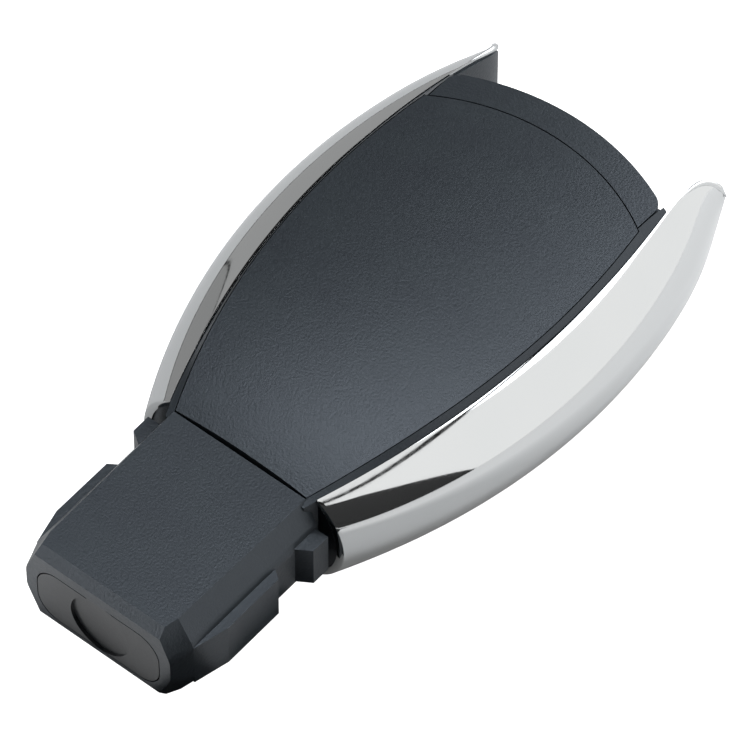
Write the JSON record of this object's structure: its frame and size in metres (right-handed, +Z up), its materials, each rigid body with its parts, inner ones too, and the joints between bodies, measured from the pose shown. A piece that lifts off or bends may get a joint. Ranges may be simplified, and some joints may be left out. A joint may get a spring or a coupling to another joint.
{
  "type": "key fob shell",
  "caption": "Crowned car key fob shell with a plug-in nose, two plated trims, a battery cover, an emergency key and push buttons.",
  "frame": {"origin": "middle of the bounding box, on the surface that the fob lies on with its button side down", "axes": "+X across the fob, +Y from the plug-in nose to the points of the trims, +Z up through the battery cover"},
  "size_m": [0.0468, 0.0886, 0.0165],
  "materials": {
    "black_abs": "fine satin grain",
    "gloss_black": "polished",
    "chrome": "bright plated",
    "steel": "milled",
    "spring_steel": "rolled strip",
    "button_rubber": "matt",
    "lens": "clear moulded"
  },
  "bodies": {
    "shell": {"housing": "black_abs", "left_trim": "chrome", "right_trim": "chrome", "nose_window": "gloss_black", "front_face": "black_abs", "keypad_mat": "button_rubber", "lamp_lens": "lens", "battery_tray": "black_abs", "positive_contact": "spring_steel", "negative_contact": "spring_steel", "bridge_contact": "spring_steel", "catch_spring": "spring_steel"},
    "cover": {"battery_cover": "black_abs"},
    "key": {"key_head": "black_abs", "key_blade": "steel", "blade_pin": "steel", "ring_bar": "steel"},
    "catch": {"release_catch": "black_abs"},
    "lock": {"lock_button": "button_rubber"},
    "trunk": {"trunk_button": "button_rubber"},
    "unlock": {"unlock_button": "button_rubber"}
  },
  "joints": [
    {"name": "cover_swing", "type": "hinge", "parent": "shell", "child": "cover", "pos_m": [0, -0.0202, 0.0133], "axis": [1, 0, 0], "range_deg": [0, 40]},
    {"name": "key_slide", "type": "slide", "parent": "shell", "child": "key", "axis": [0, 1, 0], "range_m": [0, 0.055]},
    {"name": "catch_slide", "type": "slide", "parent": "shell", "child": "catch", "axis": [1, 0, 0], "range_m": [0, 0.0015], "stiffness_N_per_m": 300, "deforming": ["catch_spring"]},
    {"name": "lock_press", "type": "slide", "parent": "shell", "child": "lock", "axis": [0, 0, 1], "range_m": [0, 0.0008], "stiffness_N_per_m": 500},
    {"name": "trunk_press", "type": "slide", "parent": "shell", "child": "trunk", "axis": [0, 0, 1], "range_m": [0, 0.0008], "stiffness_N_per_m": 500},
    {"name": "unlock_press", "type": "slide", "parent": "shell", "child": "unlock", "axis": [0, 0, 1], "range_m": [0, 0.0008], "stiffness_N_per_m": 500}
  ]
}
